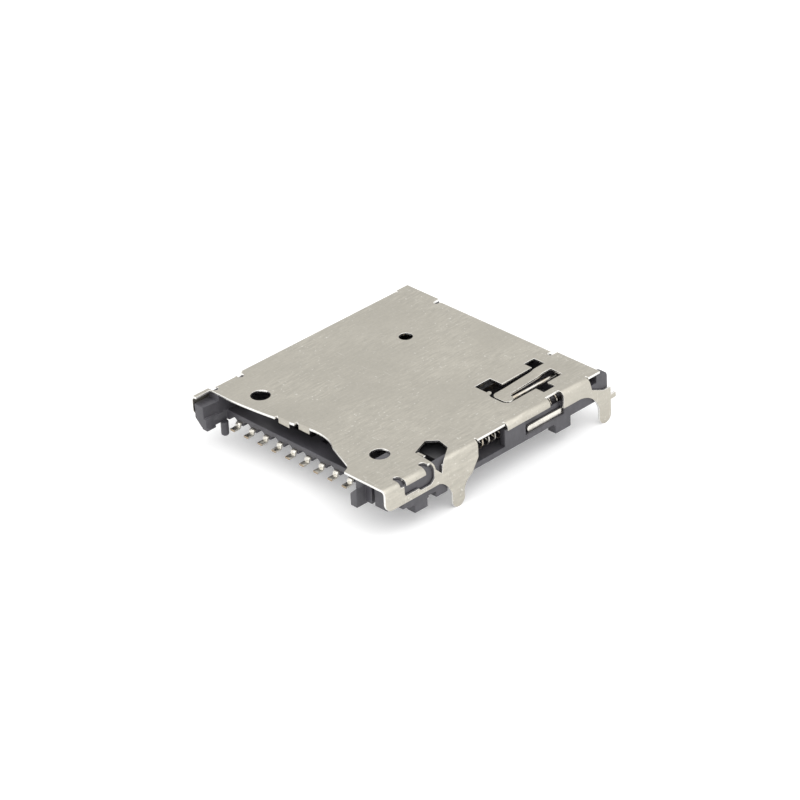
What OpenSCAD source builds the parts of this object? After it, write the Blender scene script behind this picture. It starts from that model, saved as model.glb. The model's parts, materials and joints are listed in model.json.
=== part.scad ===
// Push-push micro memory card socket that solders to a printed board.
// Z 0 is the board's face, +Z points away from it, and +Y is the way the card goes in.
// The origin is the middle of the cover's plate, seen from above.

/* [Card] */
// Width of the card behind its shoulder
card_w = 11; // [10.8:0.05:11.2]
// Width of the card's nose
card_nose_w = 9.7; // [9.6:0.05:9.8]
// Distance from the card's leading edge back to its shoulder
card_shoulder = 6.5; // [6.3:0.1:6.7]
// Room beside the card in the slot
card_gap = 0.05; // [0.03:0.01:0.1]

/* [Cover] */
// Width over the side walls
cover_w = 15.2; // [15:0.1:16]
// Depth of the top plate
cover_d = 16.5; // [16.2:0.1:17.2]
// Height of the top plate above the board
cover_h = 1.95; // [1.9:0.01:2.1]
// Thickness of the sheet
sheet = 0.15; // [0.12:0.01:0.18]
// Outer radius of the folds
fold_r = 0.32; // [0.26:0.01:0.36]
// Height of the side walls' lower edge above the board
apron_z = 0.6; // [0.45:0.01:0.65]
// Length of the solder legs below the board's face
leg_len = 1.4; // [1:0.1:1.6]
// Width of the solder legs
leg_w = 0.92; // [0.7:0.02:1]
// Middle of the front legs, back from the front edge
leg_front_y = 5.3; // [5.2:0.05:5.5]
// Middle of the rear legs, behind the rear edge
leg_rear_out = 0.25; // [0.1:0.05:0.35]
// Diameter of the two front holes in the plate
hole_d = 1.12; // [0.8:0.02:1.2]
// Distance between the two front holes
hole_span = 9.3; // [9:0.1:9.5]
// Middle of the front holes, back from the front edge
hole_back = 2.49; // [2.3:0.01:2.6]
// Diameter of the rear hole in the plate
rear_hole_d = 0.8; // [0.5:0.05:1]
// Depth of the finger arch in the front edge
arch_depth = 1.86; // [1.6:0.02:2]
// Width of the flange folded down at the rear
flange_w = 8.9; // [8:0.1:9.2]

/* [Cam tongue] */
// Width of the tongue's strip
tongue_w = 0.66; // [0.5:0.01:0.7]
// Width of the tongue's pad
tongue_pad_w = 1.24; // [1.1:0.02:1.3]
// Gap between the tongue's pad and the rod below it
tongue_gap = 0.03; // [0.02:0.01:0.05]

/* [Housing] */
// Gap between the housing and the cover
cover_gap = 0.05; // [0.03:0.01:0.08]
// Height of the underside above the board
stand_off = 0.12; // [0.08:0.01:0.16]
// Height of the card floor above the board
floor_top = 0.72; // [0.68:0.01:0.76]
// Height of the slider's bay floor above the board
bay_floor = 0.45; // [0.42:0.01:0.48]
// Thickness of the wall left of the card
left_wall = 0.88; // [0.8:0.02:1]
// Thickness of the wall right of the slider
bay_wall = 0.38; // [0.34:0.01:0.42]
// Depth of the recess in front of the comb
comb_depth = 1.6; // [1.5:0.05:1.8]
// Diameter of the locating pegs
peg_d = 0.45; // [0.4:0.05:0.6]
// Length of the locating pegs below the board's face
peg_len = 0.75; // [0.6:0.05:1]
// Length below the board's face of the blocks that stand in its slots
block_len = 0.5; // [0.3:0.05:0.6]

/* [Contacts] */
// Distance from contact to contact
pitch = 1.1; // [1.08:0.01:1.11]
// Width of a contact
contact_w = 0.35; // [0.3:0.01:0.38]
// Thickness of the contact strip
contact_t = 0.12; // [0.1:0.01:0.14]
// Height of a free contact's crown above the board
crown_z = 1.06; // [0.95:0.01:1.2]
// Length of a solder foot on the board
foot_len = 0.35; // [0.25:0.01:0.45]
// Gap around a contact where the housing holds it
insert_gap = 0.02; // [0.01:0.01:0.04]

/* [Ejector] */
// Full travel of the slider
travel = 3; // [2.8:0.05:3]
// Travel at which the slider locks
lock_travel = 2.55; // [2.4:0.05:2.6]
// Gap between the slider and its bay
slide_gap = 0.07; // [0.05:0.01:0.09]
// Length of the slider
slider_len = 6.9; // [6.6:0.1:7.2]
// Height of the slider's cam face above the board
cam_z = 1.25; // [1.2:0.01:1.27]
// Depth of the heart-shaped groove
groove_depth = 0.33; // [0.28:0.01:0.36]
// Diameter of the cam rod's wire
rod_d = 0.25; // [0.2:0.01:0.27]
// Gap between the rod and the groove's sides
rod_gap = 0.04; // [0.03:0.01:0.06]
// Sideways swing of the rod's tip over the full travel
cam_swing = 0.32; // [0.28:0.01:0.34]
// Outer diameter of the coil spring
spring_d = 0.74; // [0.66:0.02:0.76]
// Diameter of the spring's wire
spring_wire = 0.11; // [0.09:0.01:0.13]
// Gap between the spring and the cam plate beside it
spring_gap = 0.17; // [0.1:0.01:0.2]
// Number of turns of the spring
spring_turns = 20; // [16:1:24]
// Closed turns at each end of the spring
closed_turns = 1.5; // [1:0.5:2]

/* [Hidden] */
$fn = 48;
EPS = 0.01;
SIGNALS = 8;
CONTACT_NODES = [for (i = [1:SIGNALS]) str("contact_", i)];

// How far cuts run past the faces that they open
past = 1;

// Edges of the cover
front = -cover_d / 2;
rear = cover_d / 2;
half_w = cover_w / 2;
plate_z = cover_h - sheet;
fold_x = half_w - fold_r;

// Detect contact's lever at the right-hand side
lever_h = 0.36;
lever_mid = 0.64;

// Edges of the housing
body_x = half_w - sheet - cover_gap;
body_rear = rear - sheet - cover_gap;
body_front = front + 0.05;
roof = plate_z - 0.02;
comb_y = front + comb_depth;
lever_in = body_x - 0.26;
lever_y = front + 11.15;
lead_y = rear - 0.88;

// Rear corners that stand out past the flange
corner_out = 0.35;
horn_out = 0.85;
horn_w = 0.5;
horn_r = 0.35;

// Feet on the board and pegs in it
seat_pad = [1.8, 1.2];
foot_w = 0.9;
foot_front = [front + 1.75, front + 3.3];
foot_rear = [rear - 3.6, rear - 2.4];
pegs = [[-body_x + 0.95, front + 1.3], [body_x - 1.55, rear - 1.5]];
peg_tip = 0.1;

// Blocks below the right-hand wall: first y, last y and share of the block length
slot_blocks = [
    [front + 2.25, front + 3.2, 1],
    [front + 3.85, front + 4.7, 0.5],
    [rear - 3.5, rear - 2.3, 1],
];
slot_block_w = 0.6;

// Card, pressed in until it locks
card_left = -body_x + left_wall + card_gap;
slot_right = card_left + card_w + card_gap;
nose_x = card_left + card_nose_w / 2;
nose_right = card_left + card_nose_w;
card_lead = rear - 1.35;
cavity_rear = card_lead + (travel - lock_travel) + 0.1;

// Guides at the card's entry
entry_y = front + 0.7;
lead_x = [slot_right + 0.25, slot_right + 0.75];
lead_top = 1.2;
slit_x = [slot_right + 1.2, slot_right + 1.42];
slit_y = front + 1.6;

// Contacts
function contact_x(i) = nose_x + (i - (SIGNALS + 1) / 2) * pitch;
detect_x = contact_x(SIGNALS + 1);
run_z = 0.3;
tunnel_rear = comb_y + 1.1;
beam_y = 0.85;
crown_y = 4.7;
beam_tip_y = 5.3;
beam_room = 0.12;
tip_room = 0.35;
comb_r = pitch * 0.31;
comb_len = 0.6;

// Tail in y and z: foot on the board, riser in front of the comb, and the way into its tunnel
riser_y = comb_y - 0.15;
bend = 0.12;
foot_z = contact_t / 2;
foot_y = riser_y - bend - foot_len;
tail_path = concat([[foot_y, foot_z]],
    curve([riser_y - bend, foot_z], [riser_y, foot_z], [riser_y, foot_z + 0.1], 5),
    curve([riser_y, run_z - 0.1], [riser_y, run_z], [riser_y + bend, run_z], 5));

// Slider's bay
bay_left = slot_right + 0.07;
bay_right = body_x - bay_wall;
slider_left = bay_left + slide_gap;
slider_right = bay_right - slide_gap;
slider_z = bay_floor + slide_gap;
groove_w = rod_d + 2 * rod_gap;
groove_wall = 0.12;
cam_x = slider_left + groove_wall + groove_w / 2 + cam_swing;
cam_right = cam_x + cam_swing + groove_w / 2 + groove_wall;
rod_pivot_y = rear - 1.35;
block_front = rod_pivot_y - 0.38;
slider_rear = block_front - travel - 0.14;
pin_y = slider_rear - groove_wall - groove_w / 2;
slider_front = slider_rear - slider_len;
head_rear = slider_front + 1.33;
head_top = slider_z + spring_d + 0.1;
bay_front = slider_front - slide_gap;
rod_len = rod_pivot_y - pin_y;
rod_z = cam_z + slide_gap + rod_d / 2;
rod_leg = 0.5;
pivot_gap = 0.03;
arm_front = card_lead - card_shoulder - lock_travel;
arm_rear = arm_front + 1.5;
spring_x = cam_right + spring_gap + spring_d / 2;
spring_z = slider_z + spring_d / 2;
guide_d = spring_d - 2 * spring_wire - 0.1;
guide_len = 1.2;

// Wall right of the bay
post_y = [front + 9.1, front + 10.7];
post_top = 1.5;
curb_top = 0.42;
inner_top = 1.15;
inner_wall = 0.08;

// Tongue in the cover that keeps the rod in the groove
tongue_x = cam_x - 0.42;
tongue_root = rear - 1.85;
pad_front = pin_y - 0.4;
cam_open_x = [tongue_x - 0.51, tongue_x + 1.23];
cam_open_y = [pad_front - 0.35, tongue_root - 0.1];

// Sheet openings on the card entry's right
window = [front + 1.35, front + 3.6];
lip_front = [front + 1.55, front + 3];
apron_rear = front + 6.88;
lip_side = [front + 9.15, front + 12.45];
wall_rear = rear - 3;
edge_in = 0.12;
tab_x = [half_w - 1.55, half_w - 1];
tab_y = window[1] + 0.22;
tab_len = 0.62;
wedge_y = [tab_y - 0.12, tab_y + 0.4];
wedge_z = cover_h - 0.8;
pocket_z = bay_floor + 0.05;
fold_end = rear + leg_rear_out - 1.25;
fold_gap = 0.08;

// Lips folded down at the finger arch, each from its first x and along y
arch_lips = [[nose_x - 0.63, front + 1.59], [nose_x + 0.67, front + 1.85]];
arch_lip_w = 0.85;
arch_lip_drop = 0.42;

// Box between two values on each axis
module block(x, y, z) {
    translate([x[0], y[0], z[0]]) cube([x[1] - x[0], y[1] - y[0], z[1] - z[0]]);
}

// Outline seen from above, filled from z[0] to z[1]
module from_above(z) {
    translate([0, 0, z[0]]) linear_extrude(z[1] - z[0]) children();
}

// Outline in y and z, filled from x[0] to x[1]
module from_side(x) {
    translate([x[0], 0, 0]) rotate([90, 0, 90]) linear_extrude(x[1] - x[0]) children();
}

// Outline in x and z, filled from y[0] to y[1]
module from_front(y) {
    translate([0, y[1], 0]) rotate([90, 0, 0]) linear_extrude(y[1] - y[0]) children();
}

// Rectangle between two values on each axis
module area(x, y) {
    translate([x[0], y[0]]) square([x[1] - x[0], y[1] - y[0]]);
}

// Straight slot with round ends from point a to point b
module lane(a, b, w) {
    d = b - a;
    translate(a) rotate(atan2(d[1], d[0])) translate([0, -w / 2]) square([norm(d), w]);
    translate(a) circle(d = w);
    translate(b) circle(d = w);
}

// Points of a curve from a to c that bends towards b
function curve(a, b, c, n = 10) =
    [for (k = [0:n]) let (t = k / n) (1 - t) * (1 - t) * a + 2 * t * (1 - t) * b + t * t * c];

// Left-hand side of a strip of thickness t along a path
function unit(v) = v / norm(v);
function left_of(v) = [-v[1], v[0]];
function side_dir(p, k) =
    let (n = len(p) - 1)
    let (a = left_of(unit(p[max(k, 1)] - p[max(k, 1) - 1])))
    let (b = left_of(unit(p[min(k + 1, n)] - p[min(k, n - 1)])))
    (a + b) / (1 + a * b);
function strip_points(p, t) = concat(
    [for (k = [0:len(p) - 1]) p[k] + side_dir(p, k) * t / 2],
    [for (k = [len(p) - 1:-1:0]) p[k] - side_dir(p, k) * t / 2]);

// Cover: outline of the flat plate
module plate_outline() {
    left = -half_w + 0.45;
    right = nose_right + 1.4;
    middle = nose_x + 2;
    shallow = front + 1.06;
    deep = front + arch_depth;
    difference() {
        union() {
            area([-fold_x, fold_x], [front, rear - fold_r]);
            area([-half_w + edge_in, -flange_w / 2 - 0.3], [fold_end + fold_gap, rear]);
            area([flange_w / 2 - 0.3, half_w - edge_in], [fold_end + fold_gap, rear]);
            area([fold_x - EPS, half_w - edge_in], [apron_rear + fold_gap, lip_side[0] - fold_gap]);
        }
        for (lip = arch_lips) {
            area([lip[0] - 0.1, lip[0] + arch_lip_w + 0.1], [front - past, lip[1]]);
        }
        polygon(concat([[left, front - past], [left, shallow]],
            curve([left + 1.55, shallow], [middle - 2.9, shallow + 0.2], [middle - 0.8, deep - 0.08]),
            curve([middle - 0.6, deep - 0.05], [middle + 0.9, deep + 0.2], [middle + 1.9, front + 1.3]),
            curve([right - 0.55, front + 0.6], [right, front + 0.4], [right, front - past])));
    }
}

// Cover: openings in the flat plate
module plate_openings() {
    for (side = [-1, 1]) {
        translate([side * hole_span / 2, front + hole_back]) circle(d = hole_d);
        for (y = [lip_front[0] - 0.22, lip_front[1] + 0.22]) {
            lane([side * (fold_x - 0.2), y], [side * half_w, y], 0.4);
        }
    }
    area([-half_w, -fold_x + 0.12], lip_front);
    translate([nose_x - 1.67, rear - 4.26]) circle(d = rear_hole_d);
    for (x = [-flange_w / 2 - 0.32, flange_w / 2 - 0.32]) {
        lane([x, rear - fold_r - 0.08], [x, rear + past], 0.3);
    }
    cam_opening();
    side_opening();
    area([fold_x - 0.1, half_w], [lip_side[1], wall_rear]);
}

// Cover: opening round the tongue, with reliefs beside its root
module cam_opening() {
    x = cam_open_x;
    y = cam_open_y;
    area(x, [y[0] + 0.4, y[1]]);
    lane([x[0] + 0.6, y[0] + 0.4], [x[1] - 0.4, y[0] + 0.4], 0.8);
    area([x[0] - 0.9, x[0] + EPS], [y[0] + 0.2, y[0] + 1.4]);
    area([x[0] - 0.6, tongue_x - tongue_w / 2], [y[1] - 0.2, tongue_root + 0.5]);
    area([tongue_x + tongue_w / 2, x[1]], [y[1] - 0.2, tongue_root + 0.3]);
    area([x[1] - EPS, x[1] + 0.6], [y[1] - 1.7, y[1] - 0.8]);
}

// Cover: opening above the front leg, cut through the fold
module side_opening() {
    y = [tab_y, leg_front_y + front + 0.25];
    polygon([[half_w - 1.65, y[0]], [fold_x, wedge_y[0]], [half_w + EPS, wedge_y[0]],
        [half_w + EPS, wedge_y[1]], [half_w - 0.22, y[1] - 0.95], [half_w - 0.75, y[1] - 0.2],
        [half_w - 1.6, y[1]], [half_w - 2.1, y[1] - 0.5]]);
}

// Cover: one solder leg hanging from z to its round tip
module leg_outline(y, z) {
    area([y - leg_w / 2, y + leg_w / 2], [-leg_len + leg_w / 2, z]);
    translate([y, -leg_len + leg_w / 2]) circle(d = leg_w);
}

// Cover: front part of a side wall, with its window and leg
module front_wall_outline() {
    leg_y = front + leg_front_y;
    leg = [leg_y - leg_w / 2, leg_y + leg_w / 2];
    corner = 0.5;
    difference() {
        union() {
            area([front + corner, apron_rear], [apron_z, cover_h]);
            area([front, front + corner + EPS], [apron_z + corner, cover_h]);
            translate([front + corner, apron_z + corner]) circle(r = corner);
            leg_outline(leg_y, apron_z + EPS);
            polygon(concat(
                curve([leg[0] - 0.95, apron_z + EPS], [leg[0] - 0.32, apron_z - 0.15], [leg[0], -0.4]),
                curve([leg[1], -0.6], [leg[1] + 0.08, -0.05], [leg[1] + 0.6, 0.15]),
                [[apron_rear, apron_z + EPS]]));
        }
        polygon([[leg[1] + 0.6, 0.15], [apron_rear + EPS, 0.95], [apron_rear + EPS, 0]]);
        polygon([[window[0], cover_h + past], [window[0] + 0.06, apron_z + 0.56],
            [window[0] + 0.15, apron_z + 0.42], [window[0] + 1.1, apron_z + 0.42],
            [window[0] + 1.25, apron_z + 0.26], [window[1] - 0.25, apron_z + 0.26],
            [window[1], apron_z + 0.5], [window[1], cover_h - 0.36], [window[1] - 0.12, cover_h + past]]);
    }
}

// Cover: wedge that the opening above the front leg cuts into the right-hand wall
module wall_wedge() {
    polygon([[wedge_y[0], cover_h + past], [wedge_y[0], cover_h - fold_r], [wedge_y[1] - 0.05, wedge_z],
        [wedge_y[1], cover_h - fold_r], [wedge_y[1], cover_h + past]]);
}

// Cover: arm and leg at the rear of a side wall
module rear_wall_outline(wall_front) {
    leg_y = rear + leg_rear_out;
    leg_outline(leg_y, 0.6);
    leg = [leg_y - leg_w / 2, leg_y + leg_w / 2];
    polygon(concat([[wall_front, cover_h], [wall_front, 0.95]],
        curve([leg[0] - 1.45, 0.95], [leg[0] - 0.3, 0.75], [leg[0], -0.35]),
        [[leg[1], 0.3], [leg[1], 0.68], [leg_y - 0.1, 0.72], [leg_y - 1.02, 1.12], [fold_end, cover_h]]));
    area([leg[1] - EPS, leg[1] + 0.4], [-0.1, 0.2]);
}

// Cover: the fold and wall that the right-hand outline is cut from
module right_fold() {
    low = -leg_len - past;
    centre = [fold_x, cover_h - fold_r];
    from_front([front - past, rear + 2 * past]) {
        difference() {
            union() {
                translate(centre) circle(r = fold_r);
                area([half_w - sheet, half_w], [low, centre[1]]);
            }
            translate(centre) circle(r = fold_r - sheet);
            area([fold_x - past, half_w - sheet], [low, centre[1]]);
            area([fold_x - past, fold_x], [low, cover_h + past]);
        }
    }
}

// Cover: side walls, the right one open where the ejector's side shows
module side_walls() {
    intersection() {
        right_fold();
        from_side([fold_x - past, half_w + past]) {
            difference() {
                front_wall_outline();
                wall_wedge();
            }
            area(lip_front, [cover_h - 0.36, cover_h]);
            area(lip_side, [cover_h - 0.45, cover_h]);
            rear_wall_outline(wall_rear);
        }
    }
    mirror([1, 0, 0]) intersection() {
        right_fold();
        from_side([fold_x - past, half_w + past]) {
            front_wall_outline();
            area([apron_rear - EPS, wall_rear + EPS], [1.05, cover_h]);
            rear_wall_outline(wall_rear);
        }
    }
}

// Cover: flange folded down at the rear
module rear_flange() {
    x = [-flange_w / 2 - 0.17, flange_w / 2 - 0.47];
    centre = [rear - fold_r, cover_h - fold_r];
    from_side(x) {
        difference() {
            union() {
                translate(centre) circle(r = fold_r);
                area([rear - sheet, rear], [0.75, centre[1]]);
            }
            translate(centre) circle(r = fold_r - sheet);
            area([centre[0] - past, rear - sheet], [0, centre[1]]);
            area([centre[0] - past, centre[0]], [0, cover_h + past]);
        }
    }
}

// Cover: spring tongue over the cam rod
module cam_tongue() {
    mid = cover_h - sheet / 2;
    low = rod_z + rod_d / 2 + tongue_gap + sheet / 2;
    step = (mid - low) / 2;
    left = tongue_x - tongue_w / 2;
    pad_r = 0.35;
    pad_y = pad_front + pad_r;
    pad_rear = pad_front + 1.05;
    path = concat([[tongue_root, mid], [tongue_root - 0.25, mid]],
        curve([tongue_root - 0.4, mid - 0.02], [tongue_root - 0.6, mid - step],
            [tongue_root - 0.9, mid - step]),
        [[pad_rear, low], [pad_front, low]]);
    intersection() {
        from_side(cam_open_x) polygon(strip_points(path, sheet));
        from_above([0, cover_h + past]) {
            area([left, left + tongue_w], [pad_rear - 0.4, tongue_root]);
            lane([left + pad_r, pad_y], [left + tongue_pad_w - pad_r, pad_y], 2 * pad_r);
            area([left, left + 0.8], [pad_y, pad_rear - 0.2]);
        }
    }
}

// Cover: small tab folded down in front of the slider
module stop_tab() {
    block(tab_x, [tab_y - EPS, tab_y + sheet], [cover_h - tab_len, cover_h]);
}

// Cover: lips at the finger arch that keep the card down
module arch_lips_down() {
    for (lip = arch_lips) {
        block([lip[0], lip[0] + arch_lip_w], [lip[1] - EPS, lip[1] + sheet],
            [cover_h - arch_lip_drop, cover_h]);
    }
}

// Cover: one folded sheet
module cover() {
    color([0.76, 0.74, 0.69]) {
        difference() {
            union() {
                from_above([plate_z, cover_h]) plate_outline();
                side_walls();
                rear_flange();
            }
            from_above([cover_h - fold_r, cover_h + past]) plate_openings();
        }
        cam_tongue();
        stop_tab();
        arch_lips_down();
    }
}

// Housing: floor, walls and blocks before anything is cut out of them
module housing_blocks() {
    card_side = -body_x + left_wall;
    // Floor under the card and under the slider
    block([-body_x, bay_left], [comb_y, body_rear], [stand_off, floor_top]);
    block([bay_left - EPS, body_x], [comb_y, body_rear], [stand_off, bay_floor]);
    // Walls round the card
    block([-body_x, card_side], [body_front, body_rear], [stand_off, roof]);
    block([-body_x, bay_left], [cavity_rear, body_rear], [stand_off, roof]);
    // Corners that stand out past the flange, the right one with a round horn
    block([-body_x, -flange_w / 2 - 0.6], [body_rear - EPS, body_rear + corner_out],
        [stand_off + 0.2, roof]);
    block([flange_w / 2 + 0.1, body_x], [body_rear - EPS, body_rear + corner_out],
        [stand_off + 0.2, roof - 0.1]);
    from_side([body_x - horn_w, body_x]) horn_outline();
    // Block between the card's entry and the slider's bay
    block([slot_right, body_x], [entry_y, bay_front], [stand_off, roof]);
    // Wall right of the bay: front post, low curb and inner wall
    block([bay_right, body_x], [bay_front - EPS, apron_rear], [stand_off, roof]);
    block([bay_right, body_x], post_y, [stand_off, post_top]);
    block([bay_right, body_x], [apron_rear - EPS, block_front + EPS], [stand_off, curb_top]);
    block([bay_right, bay_right + inner_wall], [post_y[0], block_front + EPS], [stand_off, inner_top]);
    block([bay_right, body_x], [wall_rear + 0.2, block_front + EPS], [stand_off, inner_top]);
    // Block that carries the rod's pivot and the spring's guide
    block([bay_left - EPS, body_x], [block_front, body_rear], [stand_off, cam_z]);
    // Lead-in at the right of the card's entry
    from_front([body_front, entry_y + 0.05]) {
        polygon([[lead_x[0], stand_off], [lead_x[0], floor_top], [lead_x[1], lead_top],
            [lead_x[1], stand_off]]);
    }
}

// Housing: horn at the right-hand rear corner, seen from the side
module horn_outline() {
    y = [body_rear - EPS, body_rear + horn_out];
    z = [stand_off + 0.4, roof - 0.08];
    area([y[0], y[1] - horn_r], z);
    area(y, [z[0], z[1] - horn_r]);
    translate([y[1] - horn_r, z[1] - horn_r]) circle(r = horn_r);
}

// Housing: feet, locating pegs, blocks for the board's slots and the spring's guide
module housing_pins() {
    foot_top = stand_off + EPS;
    block([-seat_pad[0] / 2, seat_pad[0] / 2], [-seat_pad[1] / 2, seat_pad[1] / 2], [0, foot_top]);
    for (side = [-1, 1]) {
        x = side * (body_x - foot_w / 2);
        block([x - foot_w / 2, x + foot_w / 2], foot_front, [0, foot_top]);
        block([x - foot_w / 2, x + foot_w / 2], foot_rear, [0, foot_top]);
    }
    block(lead_x, [body_front, entry_y + 0.5], [0, foot_top]);
    block([-body_x + 0.55, -body_x + 0.95], [body_front, entry_y], [0, foot_top]);
    for (b = slot_blocks) {
        block([body_x - slot_block_w, body_x], [b[0], b[1]], [-block_len * b[2], foot_top]);
    }
    for (peg = pegs) {
        translate([peg[0], peg[1], -peg_len]) {
            cylinder(d1 = peg_d - 2 * peg_tip, d2 = peg_d, h = peg_tip);
            translate([0, 0, peg_tip]) cylinder(d = peg_d, h = peg_len - peg_tip + foot_top);
        }
    }
    translate([spring_x, block_front + EPS, spring_z]) rotate([90, 0, 0])
        cylinder(d = guide_d, h = guide_len);
}

// Housing: places for the contacts
module contact_cuts() {
    half = contact_w / 2;
    z = [run_z - contact_t / 2 - insert_gap, run_z + contact_t / 2 + insert_gap];
    for (i = [1:SIGNALS + 1]) {
        x = contact_x(i);
        block([x - half - insert_gap, x + half + insert_gap], [comb_y - past, tunnel_rear + EPS], z);
    }
    for (i = [1:SIGNALS]) {
        x = contact_x(i);
        block([x - half - insert_gap, x + half + insert_gap], [tunnel_rear, beam_y + EPS],
            [z[0], floor_top + past]);
        block([x - half - beam_room, x + half + beam_room], [beam_y, beam_tip_y + tip_room],
            [-past, floor_top + past]);
    }
    for (i = [0:SIGNALS + 1]) {
        translate([contact_x(i) + pitch / 2, comb_y - EPS, stand_off]) rotate([-90, 0, 0])
            cylinder(r = comb_r, h = comb_len);
    }
    detect_path(insert_gap);
}

// Housing: everything that is cut out
module housing_cuts() {
    contact_cuts();
    translate([cam_x, rod_pivot_y, cam_z - rod_leg - 0.1]) cylinder(d = rod_d + 2 * pivot_gap, h = past);
    // Slanted lower corners at the front, and lowered top at its left
    for (side = [-1, 1]) {
        from_front([front - past, front + 1.4]) {
            polygon([[side * (body_x + past), -past], [side * (body_x + past), apron_z],
                [side * (body_x + EPS), apron_z], [side * (body_x - 0.62), 0],
                [side * (body_x - 0.62), -past]]);
        }
    }
    block([-body_x - past, card_left + past], [front - past, front + 1.1], [cover_h - 0.5, cover_h]);
    // Slanted lead-in at the card's left
    from_above([floor_top, cover_h]) {
        polygon([[-body_x + left_wall - 0.3, front - past], [-body_x + left_wall + past, front - past],
            [-body_x + left_wall + past, comb_y], [-body_x + left_wall, comb_y]]);
    }
    // Slanted upper edges inside the cover's folds
    slant = fold_r - sheet;
    for (side = [-1, 1]) {
        from_front([front - past, rear + 2 * past]) {
            polygon([[side * (body_x - slant), roof + EPS], [side * (body_x + past), roof + EPS],
                [side * (body_x + past), roof - slant], [side * (body_x + EPS), roof - slant]]);
        }
    }
    from_side([-flange_w / 2 - 0.6, flange_w / 2 + 0.1]) {
        polygon([[body_rear - slant, roof + EPS], [body_rear + EPS, roof + EPS],
            [body_rear + EPS, roof - slant]]);
    }
    // Pocket below the cover's side opening
    block([half_w - 2.15, bay_right], [tab_y - 0.1, bay_front + EPS], [pocket_z, cover_h]);
    // Slit beside the front corner post
    block(slit_x, [front, slit_y], [-past, cover_h]);
    // Recessed front corner
    from_above([-past, cover_h]) {
        polygon([[body_x - 0.35, front], [body_x + past, front], [body_x + past, front + 1.2]]);
    }
}

// Housing: one moulded piece
module housing() {
    color([0.13, 0.13, 0.14]) difference() {
        union() {
            housing_blocks();
            housing_pins();
        }
        housing_cuts();
    }
}

// Contact i: foot on the board, run through the comb, and a beam that rises to its crown
module signal_contact(i) {
    crown = crown_z - contact_t / 2;
    path = concat(tail_path, [[beam_y, run_z]],
        curve([beam_y + 0.5, run_z + 0.03], [crown_y - 1, crown - 0.2], [crown_y - 0.3, crown - 0.03]),
        curve([crown_y - 0.15, crown], [crown_y + 0.15, crown + 0.02], [beam_tip_y, crown - 0.26], 6));
    color([0.83, 0.8, 0.7]) translate([contact_x(i), 0, 0]) {
        from_side([-contact_w / 2, contact_w / 2]) polygon(strip_points(path, contact_t));
    }
}

// Detect contact's lead from its tunnel to the right-hand side, grown by room to make its groove
module detect_path(room) {
    half = contact_w / 2 + room;
    z = [room > 0 ? -past : run_z - contact_t / 2, run_z + contact_t / 2 + room];
    rear_run = [lead_y - half, lead_y + half];
    lever_x = [lever_in - room, lever_in + contact_t + room];
    lever_z = [lever_mid - lever_h / 2 - room, lever_mid + lever_h / 2 + room];
    block([detect_x - half, detect_x + half], [tunnel_rear, rear_run[1]], z);
    block([detect_x - half, lever_x[1]], rear_run, z);
    block(lever_x, rear_run, [z[0], lever_z[1]]);
    from_side(lever_x) lane([lever_y, lever_mid], [lead_y, lever_mid], lever_z[1] - lever_z[0]);
}

// Detect contact: foot on the board, lead under the floor, and lever at the right-hand side
module detect_contact() {
    path = concat(tail_path, [[tunnel_rear + EPS, run_z]]);
    color([0.83, 0.8, 0.7]) {
        translate([detect_x, 0, 0]) from_side([-contact_w / 2, contact_w / 2]) {
            polygon(strip_points(path, contact_t));
        }
        detect_path(0);
    }
}

// Slider: heart-shaped track that the rod's tip follows
module cam_track() {
    start = [cam_x, pin_y];
    far = start + [cam_swing, -travel];
    rest = start + [0, -lock_travel];
    back = start + [-cam_swing, -travel + 0.1];
    turn = start + [-cam_swing, -1.1];
    lane(start, far, groove_w);
    lane(far, rest, groove_w);
    lane(rest, back, groove_w);
    lane(back, turn, groove_w);
    lane(turn, start, groove_w);
}

// Slider: cam plate, spring head and the arm that the card's shoulder pushes
module slider() {
    arm_left = nose_right + card_gap + slide_gap;
    color([0.2, 0.2, 0.21]) {
        difference() {
            union() {
                block([slider_left, cam_right], [slider_front, slider_rear], [slider_z, cam_z]);
                block([slider_left, slider_right], [slider_front, head_rear], [slider_z, head_top]);
                from_above([floor_top + slide_gap, plate_z - 0.25]) {
                    polygon([[slider_left + 0.3, arm_front - 0.4], [slider_left + 0.3, arm_rear],
                        [arm_left, arm_rear], [arm_left, arm_front + 0.5],
                        [slider_left - 0.25, arm_front - 0.4]]);
                }
            }
            from_above([cam_z - groove_depth, cover_h]) cam_track();
        }
    }
}

// Coil spring: one ring of the wire at turn angle a
SPRING_SIDES = 6;
SPRING_STEPS = 12;
spring_y = [head_rear + 0.01, block_front - 0.01];
spring_r = (spring_d - spring_wire) / 2;
closed_pitch = spring_wire * 1.08;
open_turns = spring_turns - 2 * closed_turns;
open_pitch = (spring_y[1] - spring_y[0] - spring_wire - 2 * closed_turns * closed_pitch) / open_turns;
function spring_rise(turn) =
    let (open = min(max(turn - closed_turns, 0), open_turns))
    spring_y[0] + spring_wire / 2 + (turn - open) * closed_pitch + open * open_pitch;
function spring_ring(k) = let (a = 360 * k / SPRING_STEPS) [for (s = [0:SPRING_SIDES - 1])
    let (b = 360 * s / SPRING_SIDES, r = spring_r + spring_wire / 2 * cos(b))
    [spring_x + r * cos(a), spring_rise(k / SPRING_STEPS) + spring_wire / 2 * sin(b),
        spring_z + r * sin(a)]];

module coil_spring() {
    n = spring_turns * SPRING_STEPS;
    points = [for (k = [0:n]) each spring_ring(k)];
    walls = [for (k = [0:n - 1], s = [0:SPRING_SIDES - 1])
        let (a = k * SPRING_SIDES, b = (s + 1) % SPRING_SIDES)
        [a + s, a + b, a + SPRING_SIDES + b, a + SPRING_SIDES + s]];
    first = [for (s = [SPRING_SIDES - 1:-1:0]) s];
    last = [for (s = [0:SPRING_SIDES - 1]) n * SPRING_SIDES + s];
    color([0.7, 0.7, 0.72]) polyhedron(points, concat(walls, [first], [last]));
}

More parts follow.
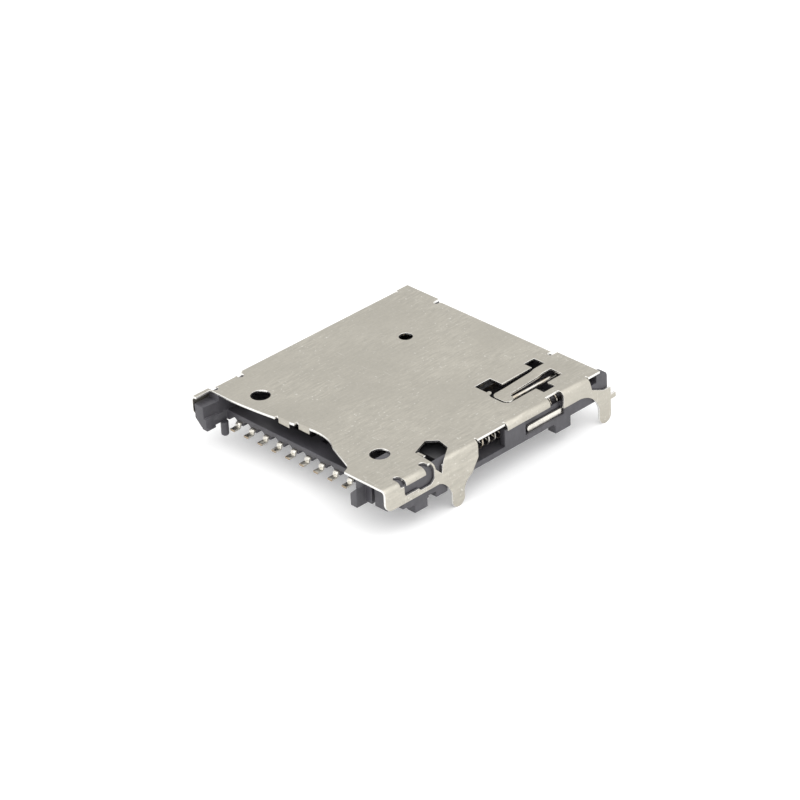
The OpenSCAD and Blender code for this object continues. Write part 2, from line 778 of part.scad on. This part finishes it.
// Cam rod: wire staple, its tip in the slider's groove and its other leg in the housing
module cam_rod() {
    tip_z = cam_z - groove_depth + 0.05;
    color([0.78, 0.77, 0.74]) {
        translate([cam_x, pin_y, tip_z]) cylinder(d = rod_d, h = rod_z - tip_z);
        translate([cam_x, pin_y, rod_z]) sphere(d = rod_d);
        translate([cam_x, rod_pivot_y, rod_z]) rotate([90, 0, 0]) cylinder(d = rod_d, h = rod_len);
        translate([cam_x, rod_pivot_y, rod_z]) sphere(d = rod_d);
        translate([cam_x, rod_pivot_y, cam_z - rod_leg]) cylinder(d = rod_d, h = rod_z - cam_z + rod_leg);
    }
}

housing();
cover();
for (i = [1:SIGNALS]) {
    signal_contact(i);
}
detect_contact();
slider();
coil_spring();
cam_rod();
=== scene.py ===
"""Finishes, rounded edges, return spring and studio for a push-push memory card socket."""

import json
import math

import bmesh
import bpy
from bpy.props import FloatProperty, FloatVectorProperty, IntProperty, PointerProperty
from mathutils import Matrix, Vector
from mathutils.bvhtree import BVHTree
from mathutils.geometry import intersect_point_line

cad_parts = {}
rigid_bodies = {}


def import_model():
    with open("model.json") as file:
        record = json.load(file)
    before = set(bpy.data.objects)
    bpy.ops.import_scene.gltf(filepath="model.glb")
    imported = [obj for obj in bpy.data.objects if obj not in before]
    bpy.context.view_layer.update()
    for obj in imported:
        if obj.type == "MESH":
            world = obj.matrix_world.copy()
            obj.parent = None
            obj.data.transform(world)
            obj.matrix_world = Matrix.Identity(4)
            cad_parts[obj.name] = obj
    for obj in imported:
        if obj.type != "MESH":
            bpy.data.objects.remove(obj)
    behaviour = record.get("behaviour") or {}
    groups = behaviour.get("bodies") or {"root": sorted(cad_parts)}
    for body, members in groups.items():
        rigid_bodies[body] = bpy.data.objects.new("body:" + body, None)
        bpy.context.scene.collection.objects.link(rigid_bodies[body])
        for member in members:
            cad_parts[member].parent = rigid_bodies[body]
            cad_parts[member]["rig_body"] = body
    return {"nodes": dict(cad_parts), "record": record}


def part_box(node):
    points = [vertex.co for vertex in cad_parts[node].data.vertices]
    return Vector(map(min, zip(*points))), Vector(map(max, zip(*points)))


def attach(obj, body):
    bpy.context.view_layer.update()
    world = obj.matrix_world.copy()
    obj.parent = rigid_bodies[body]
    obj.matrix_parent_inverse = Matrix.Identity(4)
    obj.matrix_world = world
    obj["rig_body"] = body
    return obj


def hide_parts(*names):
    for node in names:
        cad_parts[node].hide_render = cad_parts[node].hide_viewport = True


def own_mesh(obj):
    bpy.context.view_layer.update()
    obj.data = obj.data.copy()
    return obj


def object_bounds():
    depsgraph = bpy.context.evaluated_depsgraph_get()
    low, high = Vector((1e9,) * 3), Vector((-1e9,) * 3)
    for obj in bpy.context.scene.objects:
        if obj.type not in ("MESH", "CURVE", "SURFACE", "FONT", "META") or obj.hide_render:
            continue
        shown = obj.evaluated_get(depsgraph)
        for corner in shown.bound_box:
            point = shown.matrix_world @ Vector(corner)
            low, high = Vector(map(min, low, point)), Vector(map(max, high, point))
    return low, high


bl_info = {
    "name": "Card socket looks",
    "version": (1, 0, 0),
    "blender": (4, 5, 0),
    "location": "View3D > Sidebar > Card socket",
    "description": "Finishes, rounded edges, spring and studio for a push-push card socket",
    "category": "Object",
}

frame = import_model()
CAD_LOW, CAD_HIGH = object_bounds()
MM = 0.001
SLOTS = {m["slot"]: m for m in frame["record"]["materials"]}

# The next lengths and places are in millimetres
# Points closer than the first are one point, and points within the second of a line lie on it
MERGE_GAP = 0.0001
LINE_GAP = 0.001
# Lines in x that part the plate through its openings, so that no flat face has a hole
PLATE_LINES = (-4.65, -3.29, 4.48)
# Corners of the box round the comb, whose thin teeth leave no room for rounding
COMB_LOW = Vector((-6.45, -6.75, -0.1))
COMB_HIGH = Vector((4.35, -5.4, 0.55))
# Thickness of the cover's sheet, how far it may be off, and a start for measuring it just under the skin
SHEET = 0.15
SHEET_ERROR = 0.04
SKIN = 0.002
# Length of the gold at a contact's end, and depth of the bare alloy at a tail's cut end
CROWN_LENGTH = 1.3
CUT_DEPTH = 0.03

# Angles between two faces: flat, to be rounded, to be shaded as an edge, and folded over by a rounding
FLAT_EDGE = math.radians(0.5)
SHARP_EDGE = math.radians(32)
SHADED_EDGE = math.radians(35)
FOLDED_EDGE = math.radians(140)

# Return spring: steps in a turn, sides of the wire, and rise of a closed turn in wire diameters
STEPS_A_TURN = 24
WIRE_SIDES = 10
CLOSED_RISE = 1.08

# Lamps: side of the square and distance in metres, angles in degrees
KEY_LIGHT = {"size": 1.3, "azimuth": 10, "elevation": 50, "distance": 0.65}
SIDE_LIGHT = {"size": 1.1, "azimuth": 118, "elevation": 46, "distance": 0.65}
# Glow that the floor adds to its own light where it is seen
FLOOR_GLOW = 0.22
# Width of the camera's sensor in millimetres
SENSOR_WIDTH = 36


def slot_colour(slot):
    """The record's colour for a material slot."""
    return tuple(SLOTS[slot]["base_color"][:3])


def colour_prop(name, description, default):
    """A colour setting."""
    return FloatVectorProperty(name=name, description=description, default=default,
                               size=3, min=0, max=1, subtype="COLOR")


def length_prop(name, description, default):
    """A length setting in metres."""
    return FloatProperty(name=name, description=description, default=default,
                         min=0, precision=6, unit="LENGTH")


def factor_prop(name, description, default):
    """A setting from 0 to 1."""
    return FloatProperty(name=name, description=description, default=default,
                         min=0, max=1, subtype="FACTOR")


class CoverLook(bpy.types.PropertyGroup):
    """Finish of the folded sheet cover."""

    edge: length_prop("Edge radius", "Rounding of the stamped edges", 0.022 * MM)
    colour: colour_prop("Plate", "Satin nickel on the sheet's faces", (0.50, 0.475, 0.415))
    cut_colour: colour_prop("Cut edge", "Bare bright steel of the sheared edges", (0.86, 0.85, 0.82))
    roughness: factor_prop("Roughness", "Roughness of the satin faces", 0.4)


class HousingLook(bpy.types.PropertyGroup):
    """Finish of the moulded housing and of the slider."""

    edge: length_prop("Edge radius", "Rounding of the moulded edges", 0.035 * MM)
    colour: colour_prop("Moulding", "Black of the housing", (0.058, 0.056, 0.064))
    # The slider's dark grey is partly its own colour and partly painted shade: darker than the housing
    # so it reads dark in the openings
    slider_colour_and_shade: colour_prop("Slider", "Dark grey of the slider", (0.03, 0.03, 0.032))
    roughness: factor_prop("Roughness", "Roughness of the moulded faces", 0.42)


class ContactLook(bpy.types.PropertyGroup):
    """Finish of the strip contacts."""

    edge: length_prop("Edge radius", "Rounding of the strip's edges", 0.018 * MM)
    tin: colour_prop("Tin", "Tin on the solder tails and beams", (0.80, 0.77, 0.70))
    gold: colour_prop("Gold", "Gold flash on the crowns", (0.85, 0.62, 0.28))
    bare: colour_prop("Bare strip", "Copper alloy at the cut ends", (0.36, 0.29, 0.21))


class WireLook(bpy.types.PropertyGroup):
    """Finish and form of the return spring and the cam rod."""

    colour: colour_prop("Wire", "Drawn stainless wire", slot_colour("spring_wire"))
    wire: length_prop("Spring wire", "Diameter of the spring's wire", 0.11 * MM)
    turns: IntProperty(name="Turns", description="Turns of the return spring", default=20, min=4)
    closed_turns: FloatProperty(name="Closed turns", description="Closed turns at each end",
                                default=1.5, min=0)


class StudioLook(bpy.types.PropertyGroup):
    """Floor, light and camera."""

    floor: colour_prop("Floor", "Pale floor under the socket", (0.86, 0.86, 0.86))
    floor_size: length_prop("Floor size", "Side of the square floor", 4.0)
    sky: factor_prop("Sky", "Strength of the even light from all round", 0.9)
    key: FloatProperty(name="Key light", description="Power of the large light in front",
                       default=3.4, min=0, unit="POWER")
    side: FloatProperty(name="Side light", description="Power of the light from the right",
                        default=2.4, min=0, unit="POWER")
    azimuth: FloatProperty(name="Azimuth", description="Camera's angle round the socket",
                           default=math.radians(47.0138), subtype="ANGLE")
    elevation: FloatProperty(name="Elevation", description="Camera's angle above the plate",
                             default=math.radians(30.4231), subtype="ANGLE")
    roll: FloatProperty(name="Roll", description="Camera's turn about its own axis",
                        default=math.radians(-3), subtype="ANGLE")
    distance: length_prop("Distance", "Camera's distance from the point it looks at", 195.791 * MM)
    look_at: FloatVectorProperty(name="Look at", description="Point in the middle of the picture",
                                 default=(1.4616 * MM, -1.13 * MM, 1.95 * MM), subtype="TRANSLATION")
    lens: FloatProperty(name="Lens", description="Focal length on a 36 mm sensor",
                        default=163.125, min=1, unit="CAMERA")


def start_material(name):
    """A new material's node tree and its shader."""
    material = bpy.data.materials.new(name)
    material.use_nodes = True
    return material, material.node_tree, material.node_tree.nodes["Principled BSDF"]


def add(tree, kind, inputs=None, **settings):
    """A node with its settings, and with values or links on its inputs."""
    made = tree.nodes.new(kind)
    for key, value in settings.items():
        setattr(made, key, value)
    for key, value in (inputs or {}).items():
        if isinstance(value, bpy.types.NodeSocket):
            tree.links.new(value, made.inputs[key])
        else:
            made.inputs[key].default_value = value
    return made


def place(tree, stretch=(1, 1, 1), turn=(0, 0, 0)):
    """Object coordinates in millimetres, stretched and turned."""
    source = add(tree, "ShaderNodeTexCoord").outputs["Object"]
    scale = tuple(s / MM for s in stretch)
    mapped = add(tree, "ShaderNodeMapping", {"Vector": source, "Scale": scale, "Rotation": turn})
    return mapped.outputs["Vector"]


def noise(tree, vector, scale, detail=3.0, rough=0.5):
    """Cloudy pattern from 0 to 1 with that many features a millimetre."""
    inputs = {"Vector": vector, "Scale": scale, "Detail": detail, "Roughness": rough}
    return add(tree, "ShaderNodeTexNoise", inputs).outputs["Fac"]


def between(tree, value, low, high, to_low=0.0, to_high=1.0):
    """value from low to high turned into to_low to to_high, and held there beyond."""
    inputs = {"Value": value, "From Min": low, "From Max": high, "To Min": to_low, "To Max": to_high}
    return add(tree, "ShaderNodeMapRange", inputs).outputs["Result"]


def math_node(tree, operation, a, b):
    """One sum or product."""
    return add(tree, "ShaderNodeMath", {0: a, 1: b}, operation=operation).outputs["Value"]


def blend_colours(tree, share, a, b):
    """Colour a turning into colour b."""
    made = add(tree, "ShaderNodeMix", data_type="RGBA")
    for index, value in ((0, share), (6, a), (7, b)):
        if isinstance(value, bpy.types.NodeSocket):
            tree.links.new(value, made.inputs[index])
        elif index == 0:
            made.inputs[index].default_value = value
        else:
            made.inputs[index].default_value = (*value, 1)
    return made.outputs[2]


def bump(tree, shader, height, depth):
    """Relief of that depth in metres on the shader's surface."""
    made = add(tree, "ShaderNodeBump", {"Height": height, "Distance": depth, "Strength": 1.0})
    tree.links.new(made.outputs["Normal"], shader.inputs["Normal"])


def shade(colour, share):
    """A colour made darker or lighter."""
    return tuple(min(1.0, c * share) for c in colour)


def satin_nickel(look):
    """Rolled and plated sheet: cloudy tone, mottling, patches of streaks and flecks, faint scratches."""
    material, tree, shader = start_material("satin_nickel")
    fleck_colour = (0.9, 0.89, 0.85)
    pit_colour = (0.2, 0.19, 0.17)
    scratch_colour = (0.85, 0.84, 0.8)
    plain = place(tree)
    cloud = noise(tree, plain, 0.3, 3.0)
    mottle = noise(tree, plain, 7.0, 5.0, 0.6)
    patch = between(tree, noise(tree, plain, 0.35, 2.0), 0.4, 0.6, 0.25, 1.0)
    flecks = math_node(tree, "MULTIPLY", between(tree, noise(tree, plain, 6.5, 2.0), 0.66, 0.72), patch)
    pits = between(tree, noise(tree, place(tree, (1, 1, 1.3)), 9.0, 2.0), 0.30, 0.25)
    rolled = noise(tree, place(tree, (4.5, 0.7, 3), (0, 0, 0.06)), 2.0, 3.0)
    bright_streak = math_node(tree, "MULTIPLY", between(tree, rolled, 0.5, 0.68, 0.0, 0.3), patch)
    dark_streak = math_node(tree, "MULTIPLY", between(tree, rolled, 0.48, 0.32, 0.0, 0.3), patch)
    scratch = between(tree, noise(tree, place(tree, (0.35, 7, 1), (0, 0, 0.7)), 1.6, 2.0), 0.70, 0.73)
    cloudy = between(tree, cloud, 0.3, 0.7)
    mottled = between(tree, mottle, 0.3, 0.75, 0.0, 0.16)
    tone = blend_colours(tree, cloudy, shade(look.colour, 0.93), shade(look.colour, 1.05))
    tone = blend_colours(tree, mottled, tone, shade(look.colour, 0.7))
    tone = blend_colours(tree, bright_streak, tone, shade(look.colour, 1.35))
    tone = blend_colours(tree, dark_streak, tone, shade(look.colour, 0.72))
    tone = blend_colours(tree, math_node(tree, "MULTIPLY", flecks, 0.5), tone, fleck_colour)
    tone = blend_colours(tree, math_node(tree, "MULTIPLY", pits, 0.35), tone, pit_colour)
    tone = blend_colours(tree, math_node(tree, "MULTIPLY", scratch, 0.3), tone, scratch_colour)
    tree.links.new(tone, shader.inputs["Base Color"])
    rough = between(tree, mottle, 0.25, 0.75, look.roughness - 0.07, look.roughness + 0.08)
    tree.links.new(math_node(tree, "SUBTRACT", rough, math_node(tree, "MULTIPLY", scratch, 0.1)),
                   shader.inputs["Roughness"])
    relief = math_node(tree, "ADD", math_node(tree, "MULTIPLY", rolled, 0.6), mottle)
    bump(tree, shader, math_node(tree, "SUBTRACT", relief, scratch), 0.0012 * MM)
    shader.inputs["Metallic"].default_value = 1.0
    return material


def sheared_steel(look):
    """Bright cut edge with fine drag lines across the sheet."""
    material, tree, shader = start_material("sheared_steel")
    lines = noise(tree, place(tree, (30, 30, 1.5)), 1.0, 3.0)
    patches = noise(tree, place(tree), 5.0, 3.0)
    dull = between(tree, patches, 0.4, 0.7, 0.0, 0.5)
    tone = blend_colours(tree, dull, look.cut_colour, shade(look.cut_colour, 0.8))
    tree.links.new(tone, shader.inputs["Base Color"])
    tree.links.new(between(tree, lines, 0.3, 0.7, 0.2, 0.36), shader.inputs["Roughness"])
    bump(tree, shader, lines, 0.0008 * MM)
    shader.inputs["Metallic"].default_value = 1.0
    return material


def moulding(name, colour, roughness):
    """Glass-filled moulding: flow clouds, fine matt grain and a painted highlight along the edges,
    patchy along the flow clouds.
    """
    material, tree, shader = start_material(name)
    plain = place(tree)
    flow = noise(tree, place(tree, (0.6, 1.8, 1)), 1.1, 4.0, 0.6)
    grain = noise(tree, plain, 22.0, 4.0, 0.65)
    fibre = between(tree, noise(tree, place(tree, (1, 5, 2)), 9.0, 2.0), 0.66, 0.72)
    tone = blend_colours(tree, between(tree, flow, 0.3, 0.7), shade(colour, 0.8), shade(colour, 1.25))
    tone = blend_colours(tree, math_node(tree, "MULTIPLY", fibre, 0.25), tone, shade(colour, 3.0))
    # Painted highlight: edges found by the Bevel node are made four times lighter, in patches along the
    # flow clouds
    soft = add(tree, "ShaderNodeBevel", {"Radius": 0.05 * MM}, samples=4).outputs["Normal"]
    flat = add(tree, "ShaderNodeNewGeometry").outputs["Normal"]
    same = add(tree, "ShaderNodeVectorMath", {0: soft, 1: flat}, operation="DOT_PRODUCT")
    edge = between(tree, same.outputs["Value"], 0.97, 0.8)
    painted_edge_highlight = math_node(tree, "MULTIPLY", edge, between(tree, flow, 0.4, 0.6, 0.15, 0.5))
    tone = blend_colours(tree, painted_edge_highlight, tone, shade(colour, 4.0))
    tree.links.new(tone, shader.inputs["Base Color"])
    rough = between(tree, grain, 0.3, 0.7, roughness - 0.06, roughness + 0.1)
    tree.links.new(rough, shader.inputs["Roughness"])
    bump(tree, shader, grain, 0.002 * MM)
    shader.inputs["Specular IOR Level"].default_value = 0.55
    return material


def plated_strip(name, look, crown_colour):
    """Tin on the strip, a colour of its own on the crowns, and bare alloy at the tails' cut ends."""
    material, tree, shader = start_material(name)
    foot_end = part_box("contact_1")[0].y / MM
    crown_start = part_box("contact_1")[1].y / MM - CROWN_LENGTH
    plain = place(tree)
    along = add(tree, "ShaderNodeSeparateXYZ", {"Vector": plain}).outputs["Y"]
    cloud = noise(tree, plain, 3.0, 4.0)
    grain = noise(tree, place(tree, (8, 0.8, 8)), 3.0, 3.0)
    tone = blend_colours(tree, between(tree, cloud, 0.35, 0.7), look.tin, shade(look.tin, 0.8))
    wander = math_node(tree, "ADD", along, between(tree, cloud, 0.3, 0.7, -0.1, 0.1))
    crown = between(tree, wander, crown_start - 0.05, crown_start + 0.05)
    tone = blend_colours(tree, crown, tone, crown_colour)
    cut = between(tree, along, foot_end + CUT_DEPTH, foot_end + CUT_DEPTH / 2)
    tone = blend_colours(tree, cut, tone, look.bare)
    tree.links.new(tone, shader.inputs["Base Color"])
    tree.links.new(between(tree, cloud, 0.3, 0.7, 0.22, 0.36), shader.inputs["Roughness"])
    bump(tree, shader, grain, 0.0008 * MM)
    shader.inputs["Metallic"].default_value = 1.0
    return material


def drawn_wire(look):
    """Stainless wire with fine drawing lines and a faint brown heat tint."""
    material, tree, shader = start_material("drawn_wire")
    heat_tint = (0.52, 0.46, 0.37)
    lines = noise(tree, place(tree, (25, 2, 25)), 1.0, 3.0)
    tint = noise(tree, place(tree), 1.2, 2.0)
    tone = blend_colours(tree, between(tree, tint, 0.4, 0.7), look.colour, heat_tint)
    tree.links.new(tone, shader.inputs["Base Color"])
    tree.links.new(between(tree, lines, 0.3, 0.7, 0.2, 0.34), shader.inputs["Roughness"])
    bump(tree, shader, lines, 0.001 * MM)
    shader.inputs["Metallic"].default_value = 1.0
    return material


def shown_piece(bm, name, node, materials):
    """A finished mesh in millimetres as a piece that stands for a CAD node and rides on its body."""
    bmesh.ops.scale(bm, vec=(MM,) * 3, verts=bm.verts)
    mesh = bpy.data.meshes.new(name)
    bm.to_mesh(mesh)
    bm.free()
    for material in materials:
        mesh.materials.append(material)
    mesh.set_sharp_from_angle(angle=SHADED_EDGE)
    piece = bpy.data.objects.new(name, mesh)
    bpy.context.scene.collection.objects.link(piece)
    weighted = piece.modifiers.new("weighted_normals", "WEIGHTED_NORMAL")
    weighted.keep_sharp = True
    body = frame["nodes"][node]["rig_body"]
    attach(piece, body)
    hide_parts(node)
    return piece


def in_comb(point):
    """Whether a point in millimetres lies in the comb."""
    return all(low < value < high for low, value, high in zip(COMB_LOW, point, COMB_HIGH))


def joined_copy(node, lines):
    """A copy of a CAD node in millimetres, its flat faces joined up to the lines."""
    bm = bmesh.new()
    bm.from_mesh(frame["nodes"][node].data)
    bmesh.ops.scale(bm, vec=(1 / MM,) * 3, verts=bm.verts)
    bmesh.ops.remove_doubles(bm, verts=bm.verts, dist=MERGE_GAP)
    for x in lines:
        bmesh.ops.bisect_plane(bm, geom=bm.verts[:] + bm.edges[:] + bm.faces[:], dist=MERGE_GAP,
                               plane_co=(x, 0, 0), plane_no=(1, 0, 0))
    held = {v for v in bm.verts if any(abs(v.co.x - x) < LINE_GAP for x in lines)}
    bmesh.ops.dissolve_limit(bm, angle_limit=FLAT_EDGE, use_dissolve_boundaries=False, delimit=set(),
                             verts=[v for v in bm.verts if v not in held],
                             edges=[e for e in bm.edges if not held.issuperset(e.verts)])
    between_ends = [v for v in bm.verts if v in held and len(v.link_edges) == 2]
    bmesh.ops.dissolve_verts(bm, verts=between_ends)
    return bm


def gap_to_edge(point, edge):
    """Distance from a point to an edge."""
    start, end = (v.co for v in edge.verts)
    share = intersect_point_line(point, start, end)[1]
    return (point - start.lerp(end, min(1, max(0, share)))).length


def rounded_copy(node, radius, lines=()):
    """A joined copy with rounded edges, apart from the comb's and those that would fold over."""
    plain = joined_copy(node, lines)
    plain.edges.ensure_lookup_table()
    sharp = [e for e in plain.edges if e.calc_face_angle(0) > SHARP_EDGE
             and not (node == "housing" and all(in_comb(v.co) for v in e.verts))]
    near = 2 * radius / MM
    while True:
        bm = plain.copy()
        bm.edges.ensure_lookup_table()
        rounded = [bm.edges[e.index] for e in sharp]
        bmesh.ops.bevel(bm, geom=rounded, offset=radius / MM, offset_type="OFFSET", affect="EDGES",
                        segments=2, profile=0.5, material=-1, clamp_overlap=False)
        folds = [v.co.copy() for e in bm.edges if e.calc_face_angle(0) > FOLDED_EDGE for v in e.verts]
        kept = [e for e in sharp if all(gap_to_edge(point, e) > near for point in folds)]
        if len(kept) == len(sharp):
            break
        sharp = kept
        bm.free()
    plain.free()
    for face in bm.faces:
        face.smooth = True
    return bm


def mark_cut_edges(bm):
    """Gives the second material to every face that has no other skin one sheet thickness behind it."""
    tree = BVHTree.FromBMesh(bm)
    largest = {}
    for loops in bm.calc_loop_triangles():
        a, b, c = (loop.vert.co for loop in loops)
        size = (b - a).cross(c - a).length
        if size >= largest.get(loops[0].face, (0,))[0]:
            largest[loops[0].face] = (size, (a + b + c) / 3)
    for face, (_, inside) in largest.items():
        depth = tree.ray_cast(inside - face.normal * SKIN, -face.normal)[3]
        face.material_index = 0 if depth is not None and abs(depth - SHEET) < SHEET_ERROR else 1


class SOCKET_OT_cover(bpy.types.Operator):
    """Cover with rounded stamped edges, satin faces and bright sheared edges"""

    bl_idname = "card_socket.cover"
    bl_label = "Cover"

    def execute(self, context):
        look = context.scene.socket_cover
        bm = rounded_copy("cover", look.edge, PLATE_LINES)
        mark_cut_edges(bm)
        shown_piece(bm, "cover_sheet", "cover", [satin_nickel(look), sheared_steel(look)])
        return {"FINISHED"}


class SOCKET_OT_housing(bpy.types.Operator):
    """Housing with rounded moulded edges"""

    bl_idname = "card_socket.housing"
    bl_label = "Housing"

    def execute(self, context):
        look = context.scene.socket_housing
        bm = rounded_copy("housing", look.edge)
        finish = moulding("black_moulding", look.colour, look.roughness)
        shown_piece(bm, "housing_moulding", "housing", [finish])
        return {"FINISHED"}


class SOCKET_OT_contacts(bpy.types.Operator):
    """Strip contacts and the detect contact"""

    bl_idname = "card_socket.contacts"
    bl_label = "Contacts"

    def execute(self, context):
        look = context.scene.socket_contacts
        signal = plated_strip("gold_crowned_strip", look, look.gold)
        detect = plated_strip("tinned_strip", look, look.tin)
        for node in sorted(frame["nodes"]):
            if "contact" in node:
                bm = rounded_copy(node, look.edge)
                finish = detect if node == "detect_contact" else signal
                shown_piece(bm, node.replace("contact", "strip"), node, [finish])
        return {"FINISHED"}


class SOCKET_OT_ejector(bpy.types.Operator):
    """Slider with its heart-shaped track, and the cam rod"""

    bl_idname = "card_socket.ejector"
    bl_label = "Ejector"

    def execute(self, context):
        look = context.scene.socket_housing
        bm = rounded_copy("slider", look.edge)
        # The slider's colour is partly painted shade for the openings it is seen through
        finish = moulding("grey_moulding", look.slider_colour_and_shade, look.roughness)
        shown_piece(bm, "slider_block", "slider", [finish])
        rod = frame["nodes"]["cam_rod"].data
        rod.materials.clear()
        rod.materials.append(drawn_wire(context.scene.socket_wire))
        return {"FINISHED"}


class SOCKET_OT_spring(bpy.types.Operator):
    """Return spring, a round wire wound along its whole length"""

    bl_idname = "card_socket.spring"
    bl_label = "Return spring"

    def execute(self, context):
        look = context.scene.socket_wire
        low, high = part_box("coil_spring")
        middle = (low + high) / 2 / MM
        wire = look.wire / MM
        coil_r = (high.x - low.x) / MM / 2 - wire / 2
        closed_rise = wire * CLOSED_RISE
        open_turns = look.turns - 2 * look.closed_turns
        open_rise = ((high.y - low.y) / MM - wire - 2 * look.closed_turns * closed_rise) / open_turns
        bm = bmesh.new()
        section = Matrix.Translation((middle.x + coil_r, low.y / MM + wire / 2, middle.z))
        bmesh.ops.create_circle(bm, segments=WIRE_SIDES, radius=wire / 2, cap_ends=False, matrix=section)
        end = bm.verts[:] + bm.edges[:]
        for turns, rise in ((look.closed_turns, closed_rise), (open_turns, open_rise),
                            (look.closed_turns, closed_rise)):
            steps = round(turns * STEPS_A_TURN)
            climb = (0, rise / STEPS_A_TURN, 0)
            wound = bmesh.ops.spin(bm, geom=end, cent=middle, axis=(0, -1, 0), dvec=climb, steps=steps,
                                   angle=math.tau * turns, use_duplicate=False)
            end = wound["geom_last"]
        bmesh.ops.holes_fill(bm, edges=bm.edges)
        bmesh.ops.recalc_face_normals(bm, faces=bm.faces)
        for face in bm.faces:
            face.smooth = len(face.verts) == 4
        spring = shown_piece(bm, "return_spring", "coil_spring", [drawn_wire(look)])
        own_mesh(spring)
        return {"FINISHED"}


def seen_or_mirrored(tree):
    """1 for a ray from the camera, straight, mirrored or through glass, and 0 for other light."""
    rays = add(tree, "ShaderNodeLightPath").outputs
    seen = math_node(tree, "MAXIMUM", rays["Is Camera Ray"], rays["Is Glossy Ray"])
    return math_node(tree, "MAXIMUM", seen, rays["Is Transmission Ray"])


def pale_floor(colour):
    """Even pale floor that keeps the socket's shadow and is near white to the camera."""
    material, tree, shader = start_material("pale_floor")
    shader.inputs["Base Color"].default_value = (*colour, 1)
    shader.inputs["Roughness"].default_value = 0.9
    shader.inputs["Specular IOR Level"].default_value = 0.1
    shader.inputs["Emission Color"].default_value = (1, 1, 1, 1)
    glow = math_node(tree, "MULTIPLY", seen_or_mirrored(tree), FLOOR_GLOW)
    tree.links.new(glow, shader.inputs["Emission Strength"])
    return material


def white_sky(strength):
    """World that is white where it is seen or mirrored, and lights the socket at a plain level."""
    world = bpy.data.worlds.new("white_sky")
    world.use_nodes = True
    tree = world.node_tree
    back = tree.nodes["Background"]
    back.inputs["Color"].default_value = (1, 1, 1, 1)
    bright = between(tree, seen_or_mirrored(tree), 0.0, 1.0, strength, 1.0)
    tree.links.new(bright, back.inputs["Strength"])
    return world


def direction(azimuth, elevation):
    """Way from the socket to a place at those angles, the first counted from the front to the right."""
    level = math.cos(elevation)
    return Vector((math.sin(azimuth) * level, -math.cos(azimuth) * level, math.sin(elevation)))


def soft_light(name, power, size, azimuth, elevation, distance):
    """Square area light that looks at the socket."""
    data = bpy.data.lights.new(name, "AREA")
    data.energy = power
    data.size = size
    light = bpy.data.objects.new(name, data)
    back = direction(math.radians(azimuth), math.radians(elevation))
    light.location = back * distance
    light.rotation_mode = "QUATERNION"
    light.rotation_quaternion = back.to_track_quat("Z", "Y")
    bpy.context.scene.collection.objects.link(light)


class SOCKET_OT_studio(bpy.types.Operator):
    """Floor, soft lights and camera"""

    bl_idname = "card_socket.studio"
    bl_label = "Studio"

    def execute(self, context):
        look = context.scene.socket_studio
        bm = bmesh.new()
        bmesh.ops.create_grid(bm, x_segments=1, y_segments=1, size=look.floor_size / 2,
                              matrix=Matrix.Translation((0, 0, CAD_LOW.z)))
        mesh = bpy.data.meshes.new("floor")
        bm.to_mesh(mesh)
        bm.free()
        mesh.materials.append(pale_floor(look.floor))
        floor = bpy.data.objects.new("floor", mesh)
        context.scene.collection.objects.link(floor)
        context.scene.world = white_sky(look.sky)
        context.scene.view_settings.view_transform = "Standard"
        soft_light("key_light", look.key, **KEY_LIGHT)
        soft_light("side_light", look.side, **SIDE_LIGHT)
        self.camera(context, look)
        return {"FINISHED"}

    def camera(self, context, look):
        """Camera with the photograph's place, roll and lens."""
        back = direction(look.azimuth, look.elevation)
        level = Vector((math.cos(look.azimuth), math.sin(look.azimuth), 0))
        right = Matrix.Rotation(look.roll, 3, back) @ level
        up = back.cross(right)
        data = bpy.data.cameras.new("camera")
        data.sensor_width = SENSOR_WIDTH
        data.lens = look.lens
        data.clip_start = 0.01
        data.clip_end = 20
        camera = bpy.data.objects.new("camera", data)
        stand = Matrix((right, up, back)).transposed().to_4x4()
        stand.translation = Vector(look.look_at) + back * look.distance
        camera.matrix_world = stand
        context.scene.collection.objects.link(camera)
        context.scene.camera = camera


class SOCKET_PT_panel(bpy.types.Panel):
    """Settings and steps of the card socket"""

    bl_idname = "SOCKET_PT_panel"
    bl_label = "Card socket"
    bl_space_type = "VIEW_3D"
    bl_region_type = "UI"
    bl_category = "Card socket"

    def draw(self, context):
        for name, group in LOOKS.items():
            box = self.layout.box()
            for prop in group.__annotations__:
                box.prop(getattr(context.scene, name), prop)
        for operator in OPERATORS:
            self.layout.operator(operator.bl_idname)


LOOKS = {
    "socket_cover": CoverLook,
    "socket_housing": HousingLook,
    "socket_contacts": ContactLook,
    "socket_wire": WireLook,
    "socket_studio": StudioLook,
}
OPERATORS = (SOCKET_OT_cover, SOCKET_OT_housing, SOCKET_OT_contacts, SOCKET_OT_ejector,
             SOCKET_OT_spring, SOCKET_OT_studio)


def register():
    """Makes the settings, operators and panel known."""
    for name, group in LOOKS.items():
        bpy.utils.register_class(group)
        setattr(bpy.types.Scene, name, PointerProperty(type=group))
    for cls in (*OPERATORS, SOCKET_PT_panel):
        bpy.utils.register_class(cls)


def unregister():
    """Takes them away again."""
    for cls in reversed((*OPERATORS, SOCKET_PT_panel)):
        bpy.utils.unregister_class(cls)
    for name, group in LOOKS.items():
        delattr(bpy.types.Scene, name)
        bpy.utils.unregister_class(group)


def main():
    """Builds every piece and the studio."""
    register()
    bpy.ops.card_socket.cover()
    bpy.ops.card_socket.housing()
    bpy.ops.card_socket.contacts()
    bpy.ops.card_socket.ejector()
    bpy.ops.card_socket.spring()
    bpy.ops.card_socket.studio()


if __name__ == "__main__":
    main()
